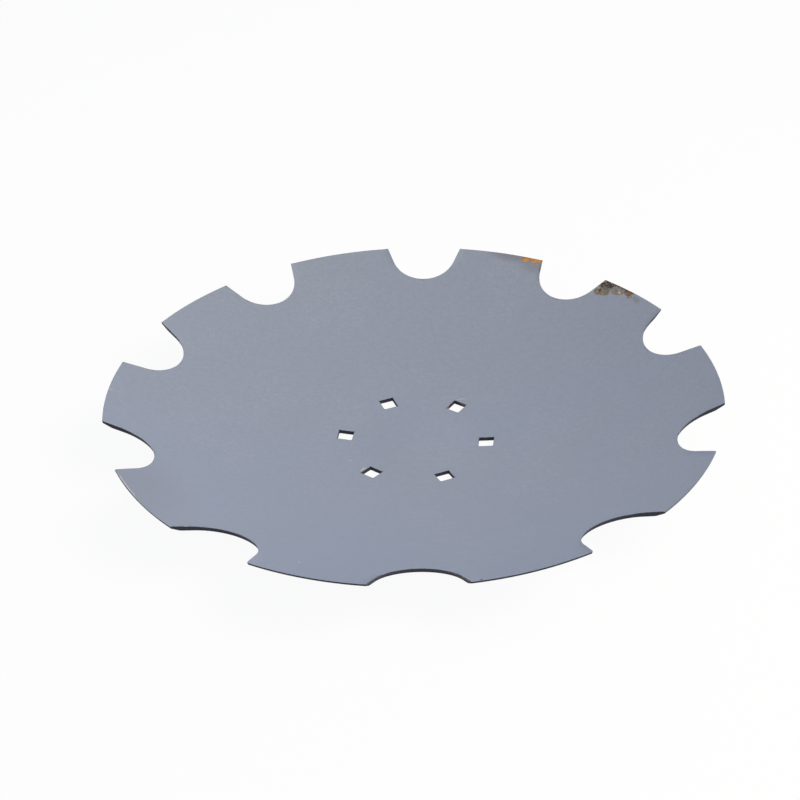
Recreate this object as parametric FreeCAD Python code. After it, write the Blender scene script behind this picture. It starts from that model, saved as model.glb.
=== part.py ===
import FreeCAD, Part
import math
import os

from FreeCAD import Vector

# Notched disc blade of a disc harrow, lying hollow side up. One piece of boron steel sheet:
# blanked round, notched, punched for its hub bolts, pressed to a shallow dish and ground
# to a cutting edge on the crowned side. The origin is the centre of the small flat seat on
# that crowned side, the one that lies on the ground, and +Z runs up the blade's axis.
# All sizes are in millimetres and all angles in degrees.

# The dish: a spherical wall round a small flat seat, with a wide blend between them
blade_diameter = 660.0
sheet = 4.5
hollow_depth = 70.0
seat_diameter = 120.0
seat_blend_radius = 300.0

# The cutting edge: ground on the crowned side, with a narrow upright land left at the rim
bevel_width = 9.0
edge_land = 2.0

# The notches in the rim: round at the bottom, with sides that flare out to the rim
notch_count = 10
notch_radius = 41.5
notch_flare = 23.0

# The press that cut the notches was neither indexed evenly nor quite centred. From +Y on and
# clockwise, each notch sits this far clockwise of its even place round the blade, and its
# round bottom is struck from a centre this far inside the rim.
notch_drift = (2.5, 1.4, -2.4, -1.7, -1.2, -0.4, -0.4, 0.1, 1.0, 0.3)
notch_inset = (5.5, 4.5, 3.5, 4.0, 6.5, 6.0, 8.0, 5.5, 6.5, 6.5)

# The square holes for the necks of M16 carriage bolts
hole_count = 6
hole_side = 16.5
hole_corner_radius = 1.0
hole_circle_diameter = 156.0
hole_turn = 7.0

# How far a cutter runs past what it cuts
cutter_overrun = 10.0


def dish_circle():
    """Height over the hollow side's flat of the centre of its sphere, and the radius."""
    rim = blade_diameter / 2
    seat = seat_diameter / 2
    height = (rim ** 2 - seat ** 2 + hollow_depth ** 2) / (2 * hollow_depth)
    return height, math.hypot(seat, height)


def on_circle(centre, radius, angle):
    """Point of the section at an angle from straight down, round a centre in the XZ plane."""
    return centre + radius * Vector(math.sin(angle), 0, -math.cos(angle))


def dish_section():
    """Half section of the dish: seat, blend, spherical wall and ground rim."""
    rim = blade_diameter / 2
    centre_height, hollow_radius = dish_circle()
    crown_radius = hollow_radius + sheet
    dish_centre = Vector(0, 0, sheet + centre_height)

    # The blend rolls from the flat into the sphere, on one centre for both sides
    blend_height = sheet + seat_blend_radius
    blend_x = math.sqrt(
        (hollow_radius - seat_blend_radius) ** 2 - (centre_height - seat_blend_radius) ** 2
    )
    blend_centre = Vector(blend_x, 0, blend_height)
    blend_angle = math.atan2(blend_x, centre_height - seat_blend_radius)

    # Where the hollow side meets the rim, and where the bevel leaves the crowned side
    rim_angle = math.asin(rim / hollow_radius)
    bevel_angle = math.asin((rim - bevel_width) / crown_radius)
    rim_top = on_circle(dish_centre, hollow_radius, rim_angle)
    rim_bottom = rim_top - Vector(0, 0, edge_land)
    bevel_start = on_circle(dish_centre, crown_radius, bevel_angle)

    crown_blend = seat_blend_radius + sheet
    crown_join = on_circle(dish_centre, crown_radius, blend_angle)
    hollow_join = on_circle(dish_centre, hollow_radius, blend_angle)
    crown_middle = on_circle(dish_centre, crown_radius, (blend_angle + bevel_angle) / 2)
    hollow_middle = on_circle(dish_centre, hollow_radius, (blend_angle + rim_angle) / 2)
    crown_flat_end = Vector(blend_x, 0, 0)
    hollow_flat_end = Vector(blend_x, 0, sheet)
    crown_blend_middle = on_circle(blend_centre, crown_blend, blend_angle / 2)
    hollow_blend_middle = on_circle(blend_centre, seat_blend_radius, blend_angle / 2)

    edges = [
        Part.makeLine(Vector(0, 0, 0), crown_flat_end),
        Part.Arc(crown_flat_end, crown_blend_middle, crown_join).toShape(),
        Part.Arc(crown_join, crown_middle, bevel_start).toShape(),
        Part.makeLine(bevel_start, rim_bottom),
        Part.makeLine(rim_bottom, rim_top),
        Part.Arc(rim_top, hollow_middle, hollow_join).toShape(),
        Part.Arc(hollow_join, hollow_blend_middle, hollow_flat_end).toShape(),
        Part.makeLine(hollow_flat_end, Vector(0, 0, sheet)),
        Part.makeLine(Vector(0, 0, sheet), Vector(0, 0, 0)),
    ]
    return Part.Face(Part.Wire(edges))


def cutter_height():
    """Tall enough to pass through the whole dish with the overrun at both ends."""
    return sheet + hollow_depth + 2 * cutter_overrun


def notch_cutter(inset):
    """Prism for a notch that points along +X."""
    middle = blade_diameter / 2 - inset
    outside = blade_diameter / 2 + cutter_overrun
    flare = math.radians(notch_flare)
    # The sides leave the arc as its tangents
    side_x = middle - notch_radius * math.sin(flare)
    side_y = notch_radius * math.cos(flare)
    mouth_y = side_y + (outside - side_x) * math.tan(flare)
    base = -cutter_overrun
    left = Vector(side_x, side_y, base)
    right = Vector(side_x, -side_y, base)
    left_mouth = Vector(outside, mouth_y, base)
    right_mouth = Vector(outside, -mouth_y, base)
    bottom = Vector(middle - notch_radius, 0, base)
    outline = Part.Wire([
        Part.makeLine(left_mouth, left),
        Part.Arc(left, bottom, right).toShape(),
        Part.makeLine(right, right_mouth),
        Part.makeLine(right_mouth, left_mouth),
    ])
    return Part.Face(outline).extrude(Vector(0, 0, cutter_height()))


def hole_cutter():
    """Square prism with rounded corners, on the hole circle at +X."""
    corner = Vector(
        hole_circle_diameter / 2 - hole_side / 2, -hole_side / 2, -cutter_overrun
    )
    punch = Part.makeBox(hole_side, hole_side, cutter_height(), corner)
    uprights = [edge for edge in punch.Edges if abs(edge.tangentAt(edge.FirstParameter).z) > 0.99]
    return punch.makeFillet(hole_corner_radius, uprights)


def turned(shape, angle):
    """Copy of a shape, turned round the blade's axis."""
    copy = shape.copy()
    copy.rotate(Vector(0, 0, 0), Vector(0, 0, 1), angle)
    return copy


def disc_blade():
    """The dish with its notches and holes cut straight down the axis."""
    dish = dish_section().revolve(Vector(0, 0, 0), Vector(0, 0, 1), 360)
    hole = hole_cutter()
    cutters = []
    for index in range(notch_count):
        drift = notch_drift[index % len(notch_drift)]
        notch = notch_cutter(notch_inset[index % len(notch_inset)])
        cutters.append(turned(notch, 90 - index * 360 / notch_count - drift))
    for index in range(hole_count):
        cutters.append(turned(hole, 60 - index * 360 / hole_count - hole_turn))
    return dish.cut(cutters)


os.makedirs("parts", exist_ok=True)
blade = disc_blade()
solid = blade.Solids[0]
solid.exportStep("parts/disc_blade.step")
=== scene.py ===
import bpy
import bmesh
import math
from mathutils import Matrix, Vector, kdtree, noise


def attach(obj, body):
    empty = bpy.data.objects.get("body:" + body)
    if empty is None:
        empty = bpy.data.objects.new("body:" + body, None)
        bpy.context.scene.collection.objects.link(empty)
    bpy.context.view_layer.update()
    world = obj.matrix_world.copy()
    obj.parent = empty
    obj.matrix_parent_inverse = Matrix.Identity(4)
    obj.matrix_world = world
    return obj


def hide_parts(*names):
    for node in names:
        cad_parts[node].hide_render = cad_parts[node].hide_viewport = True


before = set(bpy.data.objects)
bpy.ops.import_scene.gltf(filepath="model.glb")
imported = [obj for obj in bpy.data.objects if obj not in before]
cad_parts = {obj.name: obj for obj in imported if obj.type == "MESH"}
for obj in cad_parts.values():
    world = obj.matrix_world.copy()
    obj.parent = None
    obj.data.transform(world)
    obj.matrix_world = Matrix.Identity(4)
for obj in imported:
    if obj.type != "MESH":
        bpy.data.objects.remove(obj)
bpy.context.view_layer.update()


# The blank: a round of 4.5 mm boron steel sheet, with ten notches stamped out of its rim. They are
# round at the bottom and flared at the sides, and the press that cut them was neither indexed
# evenly nor quite centred. Lengths are in metres, and clockwise turns in degrees from +Y.
rim = 0.330
grinding_line = 0.321
notch_radius = 0.0415
notch_flare = math.radians(23)
bottom_turn = math.pi / 2 - notch_flare
notch_drift = (2.5, 1.4, -2.4, -1.7, -1.2, -0.4, -0.4, 0.1, 1.0, 0.3)
notch_inset = (
    0.0055, 0.0045, 0.0035, 0.0040, 0.0065, 0.0060, 0.0080, 0.0055, 0.0065, 0.0065
)
notch_count = len(notch_drift)

# How finely it is drawn: steps up a notch's side and from notch to notch, rows of faces out to the
# rim, and rows in to the circle that clears the notches
side_steps = 22
tooth_steps = 72
rim_rows = 5
root_rows = 10
notch_root = 0.270


def turned(point, clockwise):
    """A point drawn with x pointing outwards, turned to its place round the blade."""
    return Matrix.Rotation(math.radians(90 - clockwise), 3, "Z") @ point.to_3d()


def notch_turn(notch):
    """Turn of a notch's middle."""
    return 360 / notch_count * notch + notch_drift[notch % notch_count]


def notch_bottom(notch, turn):
    """Point of a notch's round bottom, at a turn from its deepest point, drawn along x."""
    middle = rim - notch_inset[notch % notch_count]
    return Vector((middle - notch_radius * math.cos(turn), notch_radius * math.sin(turn)))


def flared_side(notch, radius):
    """Where the straight side of a notch crosses a radius."""
    start = notch_bottom(notch, bottom_turn)
    along = Vector((math.cos(notch_flare), math.sin(notch_flare)))
    reach = start.dot(along)
    return start + along * (math.sqrt(reach ** 2 - start.length_squared + radius ** 2) - reach)


def notch_side(notch, share):
    """Point on a notch's side, from its deepest point (0) to the grinding line (1)."""
    start = notch_bottom(notch, bottom_turn)
    straight = flared_side(notch, grinding_line) - start
    round_run = notch_radius * bottom_turn
    run = share * (round_run + straight.length)
    if run < round_run:
        return notch_bottom(notch, run / notch_radius)
    return start + straight.normalized() * (run - round_run)


def half_mouth(notch, radius):
    """Turn from a notch's middle to where its side crosses a radius."""
    side = flared_side(notch, radius)
    return math.degrees(math.atan2(side.y, side.x))


def outline(step, tip_radius):
    """Point of the outline, counted from the first notch's middle, with the teeth this long."""
    notch, past = divmod(step, tooth_steps)
    ahead = tooth_steps - past
    if past < side_steps:
        side = notch_side(notch, past / side_steps)
        return turned(Vector((side.x, -side.y)), notch_turn(notch))
    if ahead < side_steps:
        return turned(notch_side(notch + 1, ahead / side_steps), notch_turn(notch + 1))
    first = notch_turn(notch) + half_mouth(notch, tip_radius)
    last = notch_turn(notch + 1) - half_mouth(notch + 1, tip_radius)
    share = (past - side_steps) / (tooth_steps - 2 * side_steps)
    return turned(Vector((tip_radius, 0)), first + share * (last - first))


def new_verts(result):
    """The vertices among what an operator made."""
    return [part for part in result["geom"] if isinstance(part, bmesh.types.BMVert)]


def spokes_to(verts):
    """The edges that join new vertices to the ones they were drawn out of."""
    new = set(verts)
    return [edge for edge in steel.edges if (edge.verts[0] in new) != (edge.verts[1] in new)]


def radius_of(vert):
    """Distance of a vertex from the blade's axis."""
    return vert.co.xy.length


steel = bmesh.new()
step_layer = steel.verts.layers.int.new("step")
outline_verts = bmesh.ops.create_circle(
    steel, segments=notch_count * tooth_steps, radius=grinding_line
)["verts"]
for vert in outline_verts:
    clockwise = (90 - math.degrees(math.atan2(vert.co.y, vert.co.x))) % 360
    vert[step_layer] = round(clockwise / 360 * len(outline_verts)) % len(outline_verts)
    vert.co = outline(vert[step_layer], grinding_line)
outline_edges = steel.edges[:]

# The teeth reach on from the grinding line to the rim
tip_edges = [
    edge for edge in outline_edges
    if all(side_steps <= vert[step_layer] % tooth_steps <= tooth_steps - side_steps
           for vert in edge.verts)
]
tips = new_verts(bmesh.ops.extrude_edge_only(steel, edges=tip_edges))
for vert in tips:
    vert.co = outline(vert[step_layer], rim)
bmesh.ops.subdivide_edges(
    steel, edges=spokes_to(tips), cuts=rim_rows - 1, use_grid_fill=True
)

# Inwards, the outline turns into a plain circle
roots = new_verts(bmesh.ops.extrude_edge_only(steel, edges=outline_edges))
for vert in roots:
    notch, past = divmod(vert[step_layer], tooth_steps)
    pitch = notch_turn(notch + 1) - notch_turn(notch)
    vert.co = turned(Vector((notch_root, 0)), notch_turn(notch) + pitch * past / tooth_steps)
bmesh.ops.subdivide_edges(
    steel, edges=spokes_to(roots), cuts=root_rows - 1, use_grid_fill=True
)


# The holes: six squares in a ring round the middle, punched while the sheet was still flat. They
# take the square necks of M16 carriage bolts, and the punch left their corners slightly round.
hole_count = 6
hole_turn = 37
hole_circle = 0.078
hole_half = 0.00825
hole_corner = 0.001

# The middle of the sheet is spun from a row of points, close together where the holes lie. Each
# hole is punched out of a plate of its faces, this far each way from the hole's middle.
plate_half = 0.012
plate_half_turn = 9
plate_end = hole_circle + plate_half
half_plate_rows = 6
hole_border_rows = 3
hub_steps = 240
hub_rows = 24
hub_edge = 0.262
touching = 1e-6

hub_radii = [0.010, 0.018, 0.026, 0.034, 0.041, 0.047, 0.052, 0.057, 0.062]
hub_radii += [
    hole_circle + plate_half * row / half_plate_rows
    for row in range(-half_plate_rows, half_plate_rows + 1)
]
hub_radii += [
    plate_end + (hub_edge - plate_end) * row / hub_rows for row in range(1, hub_rows + 1)
]
hub_line = [steel.verts.new(turned(Vector((radius, 0)), hole_turn)) for radius in hub_radii]
hub_line_edges = [steel.edges.new(pair) for pair in zip(hub_line, hub_line[1:])]
bmesh.ops.spin(
    steel, geom=hub_line + hub_line_edges, cent=(0, 0, 0), axis=(0, 0, 1),
    angle=2 * math.pi, steps=hub_steps, use_merge=True,
)


def ring(radius):
    """The edges on a circle round the blade's axis."""
    return [
        edge for edge in steel.edges
        if all(abs(radius_of(vert) - radius) < touching for vert in edge.verts)
    ]


def turn_from(point, clockwise):
    """Turn of a point round the blade, from -180 to 180 from a given one."""
    return (90 - math.degrees(math.atan2(point.y, point.x)) - clockwise + 180) % 360 - 180


middle = bmesh.ops.edgeloop_fill(steel, edges=ring(hub_radii[0]))["faces"]
bmesh.ops.poke(steel, faces=middle)

for hole in range(hole_count):
    turn = hole_turn + hole * 360 / hole_count
    plate = [
        face for face in steel.faces
        if abs(face.calc_center_median().length - hole_circle) < plate_half
        and abs(turn_from(face.calc_center_median(), turn)) < plate_half_turn
    ]
    plate_set = set(plate)
    border = [
        edge for edge in steel.edges
        if sum(face in plate_set for face in edge.link_faces) == 1
    ]
    bmesh.ops.delete(steel, geom=plate, context="FACES")
    punched = new_verts(bmesh.ops.extrude_edge_only(steel, edges=border))
    for vert in punched:
        outwards = (radius_of(vert) - hole_circle) / plate_half
        sideways = turn_from(vert.co, turn) / plate_half_turn
        vert.co = turned(
            Vector((hole_circle + hole_half * outwards, -hole_half * sideways)), turn
        )
    bmesh.ops.subdivide_edges(
        steel, edges=spokes_to(punched), cuts=hole_border_rows - 1, use_grid_fill=True
    )

bmesh.ops.bridge_loops(steel, edges=ring(hub_edge) + ring(notch_root))
bmesh.ops.remove_doubles(steel, verts=steel.verts, dist=touching)
bmesh.ops.recalc_face_normals(steel, faces=steel.faces)


# The press: the hot blank is closed between dies into a shallow dish with a small flat seat, and
# its crowned side is then ground to an edge that leaves a narrow land at the rim. The cut edges
# stay a little rounded, and the sheet keeps a slight waviness from the quench.
sheet = 0.0045
dish_depth = 0.070
seat = 0.060
seat_blend = 0.300
edge_land = 0.0020
dish_height = (rim ** 2 - seat ** 2 + dish_depth ** 2) / (2 * dish_depth)
dish_radius = math.hypot(seat, dish_height)
flat_radius = math.sqrt((dish_radius - seat_blend) ** 2 - (dish_height - seat_blend) ** 2)
blend_turn = math.atan2(flat_radius, dish_height - seat_blend)


def pressed_height(radius, thickness):
    """Height of a side of the dish, for the hollow side (0) or the crowned side (the sheet)."""
    if radius < flat_radius:
        return sheet - thickness
    if radius < (dish_radius + thickness) * math.sin(blend_turn):
        drop = math.sqrt((seat_blend + thickness) ** 2 - (radius - flat_radius) ** 2)
        return sheet + seat_blend - drop
    return sheet + dish_height - math.sqrt((dish_radius + thickness) ** 2 - radius ** 2)


def crown_height(radius):
    """Height of the crowned side, with its ground edge."""
    if radius <= grinding_line:
        return pressed_height(radius, sheet)
    start = pressed_height(grinding_line, sheet)
    end = pressed_height(rim, 0) - edge_land
    return start + (end - start) * (radius - grinding_line) / (rim - grinding_line)


def ramp(value, start, end):
    """Rises evenly from 0 to 1 while a value goes from start to end."""
    return min(max((value - start) / (end - start), 0), 1)


# The tools broke the last of the sheet away, so the notches and the rim lean in underneath, by
# this share of the wall's height. The lean fades out this far from the cut.
wall_lean = 0.30
lean_reach = 0.008

# They also pulled the notches' sides up into a low lip near the tips of the teeth. It starts at
# one radius and is full at the other. Only walls that face round the blade have it, and the gain
# is how soon a wall counts as one of them.
tip_lift = 0.0011
lift_reach = 0.007
lift_start = 0.295
lift_full = 0.312
side_gain = 1.4

inward = {}
for edge in steel.edges:
    if edge.is_boundary and radius_of(edge.verts[0]) > notch_root:
        along = (edge.verts[1].co - edge.verts[0].co).normalized()
        into = edge.link_faces[0].calc_center_median() - (edge.verts[0].co + edge.verts[1].co) / 2
        into = (into - along * into.dot(along)).normalized()
        for vert in edge.verts:
            inward[vert] = inward.get(vert, Vector()) + into
leans = []
lifts = []
outline_points = kdtree.KDTree(len(inward))
for index, (vert, into) in enumerate(inward.items()):
    radius = radius_of(vert)
    wall = pressed_height(radius, 0) - crown_height(radius)
    leans.append(into.normalized() * wall_lean * wall)
    faces_sideways = min(side_gain * (1 + into.normalized().dot(vert.co.normalized())), 1)
    lifts.append(tip_lift * faces_sideways * ramp(radius, lift_start, lift_full))
    outline_points.insert(vert.co, index)
outline_points.balance()

crown_faces = steel.faces[:]
crown = steel.verts[:]
hollow = new_verts(bmesh.ops.extrude_face_region(steel, geom=crown_faces, use_keep_orig=True))
hollow_set = set(hollow)

# The three finishes, in the order in which the mesh gets them further down
painted, sheared, ground = range(3)
# Faces joining the two sides are the cut walls, whose near-black finish is painted shade
for face in steel.faces:
    sides = {vert in hollow_set for vert in face.verts}
    if len(sides) == 2:
        face.material_index = sheared
    elif sides == {False} and face.calc_center_median().length > grinding_line:
        face.material_index = ground
line_verts = {vert for vert in crown if abs(radius_of(vert) - grinding_line) < touching}

for vert in crown:
    _, index, distance = outline_points.find(vert.co)
    vert.co += leans[index] * (1 - ramp(distance, 0, lean_reach))
for vert in steel.verts:
    radius = radius_of(vert)
    vert.co.z = pressed_height(radius, 0) if vert in hollow_set else crown_height(radius)
for vert in hollow:
    _, index, distance = outline_points.find(vert.co.xy.to_3d())
    vert.co.z += lifts[index] * (1 - ramp(distance, 0, lift_reach)) ** 2
bmesh.ops.recalc_face_normals(steel, faces=steel.faces)

# The upright corners of the square holes
corner_angle = math.radians(60)
uprights = [
    edge for edge in steel.edges
    if (edge.verts[0].co - edge.verts[1].co).to_2d().length < touching
    and radius_of(edge.verts[0]) < plate_end and edge.calc_face_angle() > corner_angle
]
bmesh.ops.bevel(
    steel, geom=uprights, offset=hole_corner, offset_type="OFFSET", segments=3, profile=0.5,
    affect="EDGES", material=-1, clamp_overlap=True,
)

# The grinding line stays crisp, and the cut edges are rounded. The paint goes on over them, this
# far below the hollow side, and the ground steel this far above the crowned side.
crisp_angle = math.radians(5)
cut_angle = math.radians(32)
cut_rounding = 0.00025
paint_end = 0.0001
ground_end = 0.0006
for edge in steel.edges:
    on_line = all(vert in line_verts for vert in edge.verts)
    edge.smooth = not (on_line and edge.calc_face_angle() > crisp_angle)
cut_edges = [edge for edge in steel.edges if edge.calc_face_angle() > cut_angle]
rounded = bmesh.ops.bevel(
    steel, geom=cut_edges, offset=cut_rounding, offset_type="OFFSET", segments=2, profile=0.5,
    affect="EDGES", material=-1, clamp_overlap=True,
)["faces"]
# Rounded faces below the paint take the cut walls' near-black finish, which is painted shade
for face in rounded:
    centre = face.calc_center_median()
    radius = centre.xy.length
    if centre.z > pressed_height(radius, 0) - paint_end:
        face.material_index = painted
    elif radius > grinding_line and centre.z < crown_height(radius) + ground_end:
        face.material_index = ground
    else:
        face.material_index = sheared

# Each point knows how far it is from the nearest cut edge, and how far down a cut it lies
cut_verts = [
    vert for vert in steel.verts
    if any(face.material_index == sheared for face in vert.link_faces)
]
cuts = kdtree.KDTree(len(cut_verts))
for index, vert in enumerate(cut_verts):
    cuts.insert(vert.co.xy.to_3d(), index)
cuts.balance()
edge_layer = steel.verts.layers.float.new("mm_from_cut")
depth_layer = steel.verts.layers.float.new("down_cut")
for vert in steel.verts:
    radius = min(radius_of(vert), rim)
    vert[edge_layer] = 1000 * cuts.find(vert.co.xy.to_3d())[2]
    vert[depth_layer] = ramp(vert.co.z, pressed_height(radius, 0), crown_height(radius))

# The quench leaves the sheet a little wavy outside the seat, and the punch leaves the top edges
# of the notches ragged
wave_height = 0.00025
waves_per_metre = 7
flat_end = 0.05
fully_wavy = 0.13
burr_height = 0.00012
burrs_per_metre = 330
burr_mm = 0.5
burr_depth = 0.2
for vert in steel.verts:
    radius = radius_of(vert)
    wave = noise.noise(vert.co.xy.to_3d() * waves_per_metre)
    vert.co.z += wave_height * ramp(radius, flat_end, fully_wavy) * wave
    on_top_edge = vert[edge_layer] < burr_mm and vert[depth_layer] < burr_depth
    if on_top_edge and radius > plate_end:
        vert.co.z += burr_height * max(noise.noise(vert.co * burrs_per_metre), 0)

for face in steel.faces:
    face.smooth = True
blade_mesh = bpy.data.meshes.new("notched_disc")
steel.to_mesh(blade_mesh)
steel.free()
notched_disc = bpy.data.objects.new("notched_disc", blade_mesh)
bpy.context.scene.collection.objects.link(notched_disc)
shading = notched_disc.modifiers.new("even_shading", "WEIGHTED_NORMAL")
shading.keep_sharp = True
shading.weight = 80
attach(notched_disc, "root")
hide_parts("disc_blade")


# The paint: a blue-grey satin enamel, sprayed over the whole blade in one thin coat. It is a
# little mottled and scuffed, worn dark along the cut edges and rubbed off the seat, and rust has
# come up through it at two teeth.
# The coat's colour under painted cool light at the front and painted warm light at the back
coat_in_cool_light = (0.273, 0.308, 0.411)
coat_in_warm_light = (0.282, 0.307, 0.378)
scuffed_coat = (0.42, 0.445, 0.50)
edge_steel = (0.090, 0.096, 0.125)
burr_steel = (0.060, 0.064, 0.080)
bright_steel = (0.56, 0.57, 0.58)
scratched_steel = (0.56, 0.54, 0.52)
seat_steel = (0.30, 0.30, 0.31)


def add(nodes, kind, inputs=None, **settings):
    """A node with its settings, its inputs set to plain values or fed by other nodes."""
    node = nodes.new(kind)
    for name, value in settings.items():
        setattr(node, name, value)
    for name, value in (inputs or {}).items():
        if isinstance(value, bpy.types.NodeSocket):
            node.id_data.links.new(value, node.inputs[name])
        else:
            node.inputs[name].default_value = value
    return node


def new_finish(name):
    """A material, its nodes, its shader and the place of each point on the blade."""
    material = bpy.data.materials.new(name)
    material.use_nodes = True
    nodes = material.node_tree.nodes
    place = add(nodes, "ShaderNodeTexCoord").outputs["Object"]
    return material, nodes, nodes["Principled BSDF"], place


def grains(nodes, place, size, detail=2.0, stretch=(1, 1, 1), turn=0):
    """Noise with grains of a size in metres, from 0 to 1, drawn out along an axis."""
    darkest = 0.3
    lightest = 0.7
    drawn = add(nodes, "ShaderNodeMapping", {
        "Vector": place, "Rotation": (0, 0, math.radians(turn)), "Scale": stretch,
    }).outputs[0]
    noise_value = add(nodes, "ShaderNodeTexNoise", {
        "Vector": drawn, "Scale": 1 / size, "Detail": detail,
    }).outputs["Fac"]
    return eased(nodes, noise_value, darkest, lightest)


def eased(nodes, value, start, end, low=0.0, high=1.0):
    """Goes smoothly from low to high while a value goes from start to end."""
    return add(nodes, "ShaderNodeMapRange", {
        "Value": value, "From Min": start, "From Max": end, "To Min": low, "To Max": high,
    }, interpolation_type="SMOOTHSTEP").outputs["Result"]


def put(nodes, operation, first, second):
    """Two values put together by arithmetic."""
    return add(nodes, "ShaderNodeMath", {0: first, 1: second}, operation=operation).outputs[0]


def over(nodes, under, colour, cover):
    """A colour laid over another as far as the cover reaches."""
    node = add(nodes, "ShaderNodeMix", {0: cover}, data_type="RGBA")
    for index, tint in ((6, under), (7, colour)):
        if isinstance(tint, bpy.types.NodeSocket):
            node.id_data.links.new(tint, node.inputs[index])
        else:
            node.inputs[index].default_value = (*tint, 1)
    return node.outputs[2]


def patch(nodes, place, x, y, length, width=None, turn=0):
    """An oval patch of the blade's face: 1 in its middle, 0 from its border on."""
    mid_height = 0.035
    any_height = 10
    local = add(nodes, "ShaderNodeMapping", {
        "Vector": place, "Location": (x, y, mid_height), "Rotation": (0, 0, math.radians(turn)),
        "Scale": (length, width or length, any_height),
    }, vector_type="TEXTURE").outputs[0]
    return add(
        nodes, "ShaderNodeTexGradient", {"Vector": local}, gradient_type="SPHERICAL"
    ).outputs["Fac"]


def patches(nodes, place, ovals):
    """Several oval patches, joined into one."""
    joined = patch(nodes, place, *ovals[0])
    for oval in ovals[1:]:
        joined = put(nodes, "MAXIMUM", joined, patch(nodes, place, *oval))
    return joined


def connect(nodes, shader, colour, roughness, height, depth):
    """Feeds a shader its colour, its roughness and a relief of a depth in metres."""
    links = nodes.id_data.links
    links.new(colour, shader.inputs["Base Color"])
    links.new(roughness, shader.inputs["Roughness"])
    relief = add(nodes, "ShaderNodeBump", {"Height": height, "Distance": depth})
    links.new(relief.outputs[0], shader.inputs["Normal"])


paint, nodes, shader, place = new_finish("blue_grey_satin_paint")
shader.inputs["Specular IOR Level"].default_value = 0.35
from_cut = add(nodes, "ShaderNodeAttribute", attribute_name="mm_from_cut").outputs["Fac"]
coordinates = add(nodes, "ShaderNodeSeparateXYZ", {0: place}).outputs

# The coat: its colour drifts from cool at the front to warm at the back, which is painted light,
# in soft clouds that move the drift by this many metres, with a fine mottle and the spray's grain
cloud_drift = 0.20
cool_light_end = -0.32
warm_light_end = 0.48
mottle = grains(nodes, place, size=0.006, detail=4.0)
spray = grains(nodes, place, size=0.0014, detail=1.0)
clouds = put(nodes, "ADD", coordinates["Y"],
             put(nodes, "MULTIPLY", grains(nodes, place, size=0.24), cloud_drift))
colour = over(nodes, coat_in_cool_light, coat_in_warm_light, eased(nodes, clouds, cool_light_end, warm_light_end))
shade = put(nodes, "MULTIPLY", eased(nodes, mottle, 0, 1, low=0.978, high=1.022),
            eased(nodes, spray, 0, 1, low=0.965, high=1.035))
colour = add(nodes, "ShaderNodeVectorMath", {0: colour, "Scale": shade},
             operation="SCALE").outputs[0]

# Hairline scratches from stacking, in two directions and only here and there
hair_stretch = (0.02, 1, 1)
hair_strength = 0.3
scuffed = eased(nodes, grains(nodes, place, size=0.09), 0.55, 0.95)
for scratch_turn in (24, -57):
    hairs = grains(
        nodes, place, size=0.0009, detail=1.0, stretch=hair_stretch, turn=scratch_turn
    )
    hairline = put(nodes, "MULTIPLY", eased(nodes, hairs, 0.93, 1.0), scuffed)
    colour = over(nodes, colour, scuffed_coat, put(nodes, "MULTIPLY", hairline, hair_strength))

# Brownish haze on the two teeth that have started to rust, and a darker patch over two
# others, which is painted shade.
# Here and below, a patch is given by its middle's x and y, its half length and half width, and
# the turn of its length.
brown_haze = (0.212, 0.205, 0.235)
thin_haze = (0.215, 0.208, 0.240)
green_haze = (0.190, 0.215, 0.215)
painted_shade_coat = (0.250, 0.274, 0.354)
for tint, strength, oval in (
    (brown_haze, 0.85, (0.127, 0.304, 0.046, 0.0140, -23)),
    (thin_haze, 0.55, (0.150, 0.283, 0.024, 0.0150, -27)),
    (green_haze, 0.65, (0.2650, 0.1860, 0.0115, 0.0050, -72)),
    # painted shade: the darker patch over two teeth at the left
    (painted_shade_coat, 0.90, (-0.2850, -0.1550, 0.1200, 0.0700, -60)),
):
    haze_and_shade = eased(nodes, patch(nodes, place, *oval), 0, 0.8, high=strength)
    colour = over(nodes, colour, tint, haze_and_shade)

# Dark steel where the paint has worn off the cut edges, most of all on one bared corner
fray = grains(nodes, place, size=0.003, detail=3.0)
frayed = put(nodes, "ADD", from_cut, eased(nodes, fray, 0, 1, low=-0.2, high=0.5))
bared = eased(nodes, patch(nodes, place, 0.1600, 0.2790, 0.012, 0.006, 75), 0, 0.4)
bared = put(nodes, "MULTIPLY", bared, eased(nodes, frayed, 1.5, 0.7, high=0.8))
worn = put(nodes, "ADD", eased(nodes, frayed, 0.45, 0.10, high=0.45), bared)
colour = over(nodes, colour, edge_steel, worn)

# One tooth was rubbed along its rim: a bright line of bare steel, with a dark burr outside it
rubbed = eased(nodes, patch(nodes, place, -0.2810, -0.1690, 0.0240, 0.0060, -59), 0.0, 0.3)
burr = eased(nodes, from_cut, 1.0, 0.5, high=0.7)
colour = over(nodes, colour, burr_steel, put(nodes, "MULTIPLY", rubbed, burr))
line_start = eased(nodes, from_cut, 0.7, 1.2)
line_end = eased(nodes, from_cut, 2.3, 1.6)
bright_line = put(nodes, "MULTIPLY", line_start, line_end)
broken_line = put(nodes, "MULTIPLY", bright_line, eased(nodes, fray, 0.1, 0.6, low=0.35))
colour = over(nodes, colour, bright_steel, put(nodes, "MULTIPLY", rubbed, broken_line))

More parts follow.
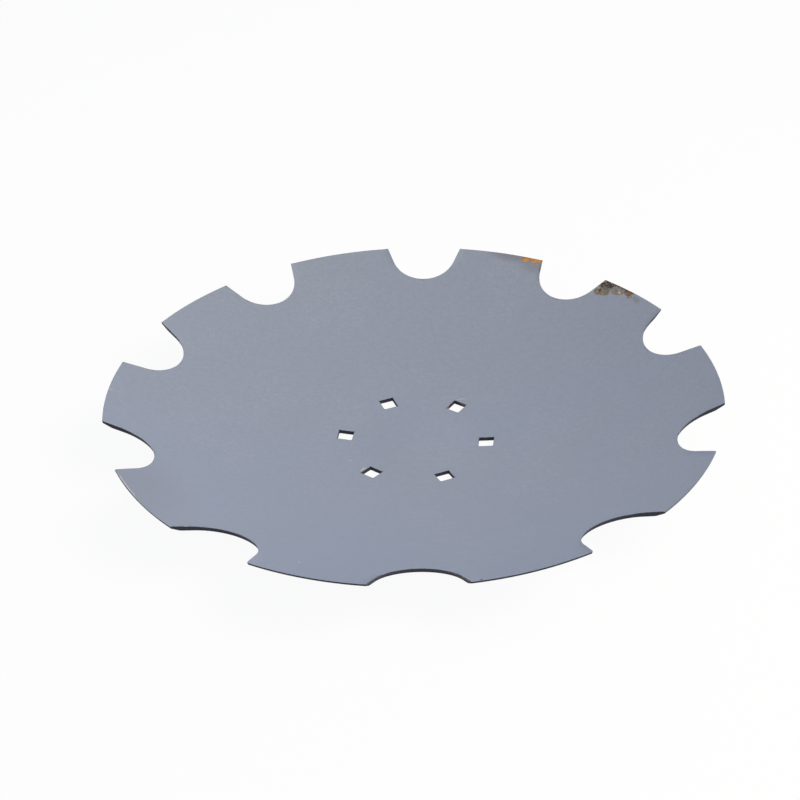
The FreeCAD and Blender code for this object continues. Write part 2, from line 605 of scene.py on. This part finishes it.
# The scab on one tooth: crumbling lobes of ochre, over which the other tints lie in patches that
# crumble the same way, from light brown at its foot to almost black at the tooth's corner
ochre = (0.290, 0.225, 0.130)
ochre_shade = (0.135, 0.108, 0.082)
light_brown = (0.275, 0.232, 0.180)
lilac_grey = (0.262, 0.236, 0.255)
olive_grey = (0.130, 0.135, 0.130)
foot_brown = (0.220, 0.140, 0.095)
rim_brown = (0.095, 0.045, 0.036)
corner_black = (0.028, 0.017, 0.013)
notch_brown = (0.060, 0.042, 0.034)
tip_grey = (0.220, 0.235, 0.245)
foot_pink = (0.480, 0.270, 0.220)
pale_crust = (0.46, 0.43, 0.40)
dark_pits = (0.075, 0.060, 0.058)
crumble = grains(nodes, place, size=0.0042, detail=3.0)
speck = grains(nodes, place, size=0.0020, detail=2.0)
grit = grains(nodes, place, size=0.0013, detail=1.0)
crumbled = put(nodes, "MULTIPLY", crumble, 0.30)
scab = put(nodes, "SUBTRACT", patches(nodes, place, (
    (0.2335, 0.2255, 0.0120, 0.0100, -50), (0.2255, 0.2178, 0.0078), (0.2330, 0.2150, 0.0088),
    (0.2470, 0.2145, 0.0190, 0.0105, -50), (0.2465, 0.2078, 0.0120, 0.0058, -33),
    (0.2585, 0.2005, 0.0085, 0.0062, -50), (0.2588, 0.1945, 0.0038),
)), crumbled)
scab_colour = over(nodes, ochre, ochre_shade, speck)
for tint, strength, ovals in (
    (light_brown, 0.9, ((0.2465, 0.2080, 0.0135, 0.0070, -33),)),
    (lilac_grey, 0.8, ((0.2440, 0.2180, 0.0160, 0.0085, -50),)),
    (olive_grey, 0.8, ((0.2350, 0.2195, 0.0075, 0.0050, 20),)),
    (foot_brown, 0.9, ((0.2580, 0.2005, 0.0105, 0.0068, -50),)),
    (rim_brown, 0.9, (
        (0.2565, 0.2072, 0.0180, 0.0040, -51), (0.2470, 0.2175, 0.0080, 0.0030, -51),
    )),
    (corner_black, 1.0, (
        (0.2348, 0.2262, 0.0105, 0.0062, -40), (0.2395, 0.2215, 0.0060),
        (0.2295, 0.2240, 0.0060, 0.0035, 45),
    )),
    (notch_brown, 0.8, ((0.2266, 0.2193, 0.0042, 0.0030, 45),)),
    (tip_grey, 0.8, ((0.2312, 0.2303, 0.0034),)),
    (foot_pink, 0.9, ((0.2588, 0.1942, 0.0024),)),
):
    zone = put(nodes, "SUBTRACT", patches(nodes, place, ovals), crumbled)
    scab_colour = over(nodes, scab_colour, tint, eased(nodes, zone, 0, 0.35, high=strength))
scab_colour = over(nodes, scab_colour, pale_crust, eased(nodes, speck, 0.72, 0.95, high=0.8))
scab_colour = over(nodes, scab_colour, dark_pits, eased(nodes, grit, 0.60, 0.95, high=0.65))
scab_cover = eased(nodes, scab, 0.0, 0.22)
colour = over(nodes, colour, scab_colour, scab_cover)

# The strip of fresh rust along another tooth's rim, and an orange speck below it
fresh_rust = (0.66, 0.335, 0.065)
rust_grit = (0.52, 0.205, 0.050)
rust_shade = (0.36, 0.150, 0.060)
rim_rust = (0.42, 0.110, 0.030)
strip = put(nodes, "SUBTRACT", patches(nodes, place, (
    (0.1425, 0.2970, 0.0072, 0.0074, -26), (0.1517, 0.2925, 0.0066, 0.0068, -27),
    (0.1595, 0.2884, 0.0062, 0.0056, -29), (0.1505, 0.2935, 0.0170, 0.0040, -27),
    (0.1547, 0.2827, 0.0010),
)), put(nodes, "MULTIPLY", crumble, 0.20))
specked_mm = put(nodes, "ADD", from_cut, put(nodes, "MULTIPLY", speck, 1.5))
rust = over(nodes, fresh_rust, rust_grit, eased(nodes, grit, 0.3, 0.9))
rust = over(nodes, rust, rust_shade, eased(nodes, crumble, 0.55, 0.95, high=0.7))
rust = over(nodes, rust, rim_rust, eased(nodes, specked_mm, 1.9, 0.9, high=0.9))
strip_cover = eased(nodes, strip, 0.0, 0.24)
colour = over(nodes, colour, rust, strip_cover)

# Single flecks: rust, bare metal, lime and dirt
rust_fleck = (0.50, 0.27, 0.20)
rust_stain = (0.42, 0.26, 0.12)
metal_fleck = (0.42, 0.44, 0.48)
crust_fleck = (0.66, 0.60, 0.52)
lime = (0.60, 0.60, 0.60)
cool_lime = (0.60, 0.60, 0.62)
dirt = (0.06, 0.06, 0.07)
for tint, x, y, size in (
    (rust_fleck, 0.1203, 0.1667, 0.0016), (rust_fleck, 0.1249, 0.1639, 0.0014),
    (metal_fleck, -0.0704, -0.0403, 0.0017), (crust_fleck, 0.2480, 0.2060, 0.0018),
    (lime, -0.2153, -0.2299, 0.0022), (cool_lime, -0.1068, -0.2756, 0.0014),
    (dirt, 0.0579, -0.3216, 0.0022), (rust_stain, 0.0350, 0.0618, 0.0020),
):
    fleck = eased(nodes, patch(nodes, place, x, y, size), 0.1, 0.5, high=0.85)
    colour = over(nodes, colour, tint, fleck)

# Three short scratches down to the metal
for oval in (
    (-0.0565, -0.0565, 0.0050, 0.0013, 53), (0.0530, 0.0755, 0.0065, 0.0007, 3),
    (-0.3275, 0.0080, 0.0026, 0.0007, -14),
):
    scratch = eased(nodes, patch(nodes, place, *oval), 0.05, 0.4, high=0.8)
    colour = over(nodes, colour, scratched_steel, scratch)

# The seat on the crowned side is rubbed down to steel where the blade has stood and slid
resting = eased(nodes, coordinates["Z"], 0.0009, 0.0001)
slides = grains(nodes, place, size=0.0016, detail=3.0, stretch=(0.05, 1, 1), turn=31)
slides = put(nodes, "ADD", slides, grains(nodes, place, size=0.05))
rubbed_seat = put(nodes, "MULTIPLY", resting, eased(nodes, slides, 1.0, 1.5))
colour = over(nodes, colour, seat_steel, rubbed_seat)

# Rust is rough and stands up from the paint, which is satin with a little orange peel
rusty = put(nodes, "MAXIMUM", scab_cover, strip_cover)
satin = eased(nodes, mottle, 0, 1, low=0.40, high=0.48)
roughness = put(nodes, "ADD", satin, put(nodes, "MULTIPLY", rusty, 0.42))
peel = put(nodes, "MULTIPLY", grains(nodes, place, size=0.0026), 0.08)
crust = put(nodes, "ADD", crumble, put(nodes, "MULTIPLY", speck, 0.5))
height = put(nodes, "ADD", peel, put(nodes, "MULTIPLY", rusty, crust))
connect(nodes, shader, colour, roughness, height, depth=0.0004)
blade_mesh.materials.append(paint)


# The cut walls: where the punch sheared the sheet. Their near-black colour is painted shade, for
# the dark that the upright walls face. They are smooth below the hollow side and torn in fine
# upright streaks lower down, and one hole has rusted.
# Painted shade: the walls' near-black, and the dark grey of their torn streaks
wall_shade_black = (0.0160, 0.0175, 0.0310)
torn_wall_shade_grey = (0.0360, 0.0370, 0.0560)
hole_rust = (0.235, 0.115, 0.055)
shaded_cut_steel, nodes, shader, place = new_finish("sheared_steel_painted_shade")
shader.inputs["Specular IOR Level"].default_value = 0.25
down_cut = add(nodes, "ShaderNodeAttribute", attribute_name="down_cut").outputs["Fac"]
streaks = grains(nodes, place, size=0.0011, detail=3.0, stretch=(1, 1, 0.07))
tear_line = put(nodes, "MULTIPLY", grains(nodes, place, size=0.007), 0.25)
torn = eased(nodes, put(nodes, "ADD", down_cut, tear_line), 0.38, 0.55)
colour = over(nodes, wall_shade_black, torn_wall_shade_grey, put(nodes, "MULTIPLY", streaks, torn))
stain = put(nodes, "MULTIPLY", grains(nodes, place, size=0.003, detail=4.0), 0.35)
for x, y, size in (
    (0.0362, 0.0618, 0.0060), (0.0568, 0.0660, 0.0085), (-0.0590, -0.0600, 0.0032),
):
    rusted = put(nodes, "SUBTRACT", patch(nodes, place, x, y, size), stain)
    colour = over(nodes, colour, hole_rust, eased(nodes, rusted, 0.0, 0.3, high=0.9))
roughness = eased(nodes, torn, 0, 1, low=0.42, high=0.68)
relief = put(nodes, "MULTIPLY", streaks, eased(nodes, torn, 0, 1, low=0.15))
connect(nodes, shader, colour, roughness, relief, depth=0.00018)
blade_mesh.materials.append(shaded_cut_steel)


# The ground edge: steel ground bare on the crowned side, since dulled to grey-blue. The wheel's
# marks run across it from the grinding line to the rim.
wheel_grey = (0.115, 0.120, 0.135)
mark_grey = (0.19, 0.195, 0.205)
dull_grey = (0.080, 0.078, 0.085)
ground_steel, nodes, shader, place = new_finish("ground_edge_steel")
shader.inputs["Metallic"].default_value = 0.7
coordinates = add(nodes, "ShaderNodeSeparateXYZ", {0: place}).outputs
bearing = put(nodes, "ARCTAN2", coordinates["Y"], coordinates["X"])
wheel = add(nodes, "ShaderNodeCombineXYZ", {
    "X": put(nodes, "MULTIPLY", bearing, rim),
    "Y": put(nodes, "MULTIPLY", coordinates["Z"], 0.06),
}).outputs[0]
marks = grains(nodes, wheel, size=0.0010, detail=3.0)
passes = grains(nodes, wheel, size=0.010)
dulled = put(nodes, "MULTIPLY", grains(nodes, place, size=0.02, detail=4.0), 0.6)
colour = over(nodes, over(nodes, wheel_grey, mark_grey, marks), dull_grey, dulled)
relief = put(nodes, "ADD", marks, passes)
roughness = eased(nodes, relief, 0, 2, low=0.34, high=0.56)
connect(nodes, shader, colour, roughness, relief, depth=0.00006)
blade_mesh.materials.append(ground_steel)


# The stage: a pale matt floor that keeps the blade's shadow, under a white surround and one large
# square softbox to the right. The camera and gloss see floor and surround as plain white, and
# what lights the blade is the softbox and a faint cool fill.
floor_size = 8
floor_grey = (0.88, 0.88, 0.88, 1)
whiteness = 0.94
white = {"Color": (1, 1, 1, 1), "Strength": 1.0}


def seen_rays(nodes):
    """1 for what the camera sees, straight or by gloss or through glass, and 0 for lighting."""
    rays = add(nodes, "ShaderNodeLightPath").outputs
    straight = put(nodes, "MAXIMUM", rays["Is Camera Ray"], rays["Is Glossy Ray"])
    return put(nodes, "MAXIMUM", straight, rays["Is Transmission Ray"])


def mixed(nodes, share, first, second, output):
    """Mixes two shaders into a material's or the world's output."""
    node = nodes.new("ShaderNodeMixShader")
    links = nodes.id_data.links
    links.new(share, node.inputs[0])
    links.new(first.outputs[0], node.inputs[1])
    links.new(second.outputs[0], node.inputs[2])
    links.new(node.outputs[0], nodes[output].inputs["Surface"])


floor_mesh = bpy.data.meshes.new("floor")
floor_plan = bmesh.new()
bmesh.ops.create_grid(floor_plan, x_segments=1, y_segments=1, size=floor_size)
floor_plan.to_mesh(floor_mesh)
floor_plan.free()
floor = bpy.data.objects.new("floor", floor_mesh)
bpy.context.scene.collection.objects.link(floor)
floor_paint = bpy.data.materials.new("pale_floor")
floor_paint.use_nodes = True
nodes = floor_paint.node_tree.nodes
shader = nodes["Principled BSDF"]
shader.inputs["Base Color"].default_value = floor_grey
shader.inputs["Roughness"].default_value = 0.9
shader.inputs["Specular IOR Level"].default_value = 0.1
glow = add(nodes, "ShaderNodeEmission", white)
mixed(nodes, put(nodes, "MULTIPLY", seen_rays(nodes), whiteness), shader, glow, "Material Output")
floor_mesh.materials.append(floor_paint)

world = bpy.data.worlds.new("studio")
world.use_nodes = True
nodes = world.node_tree.nodes
fill = nodes["Background"]
fill.inputs["Color"].default_value = (0.88, 1.0, 1.2, 1)
fill.inputs["Strength"].default_value = 0.345
mixed(nodes, seen_rays(nodes), fill, add(nodes, "ShaderNodeBackground", white), "World Output")
bpy.context.scene.world = world

softbox = bpy.data.lights.new("softbox", "AREA")
softbox.shape = "SQUARE"
softbox.size = 2.4
softbox.energy = 90
softbox.color = (1.0, 0.94, 0.80)
lamp = bpy.data.objects.new("softbox", softbox)
lamp.location = (2.0, -0.7, 2.2)
lamp.rotation_euler = (-lamp.location).to_track_quat("-Z", "Y").to_euler()
bpy.context.scene.collection.objects.link(lamp)


# The camera: at the photograph's angle, about 33 degrees above the blade, with the long lens and
# the slight roll that were fitted to the rim, the notches and the holes.
camera_data = bpy.data.cameras.new("camera")
camera_data.lens = 63.21
camera_data.shift_x = -0.0471
camera = bpy.data.objects.new("camera", camera_data)
camera.location = (0.0119, -1.2801, 0.8804)
aim = Vector((0.0254, 0.0235, 0.0405))
roll = Matrix.Rotation(math.radians(-0.92), 3, "Z")
level = (aim - camera.location).to_track_quat("-Z", "Y").to_matrix()
camera.rotation_euler = (level @ roll).to_euler()
bpy.context.scene.collection.objects.link(camera)
bpy.context.scene.camera = camera
bpy.context.scene.view_settings.view_transform = "Standard"

bpy.context.view_layer.update()
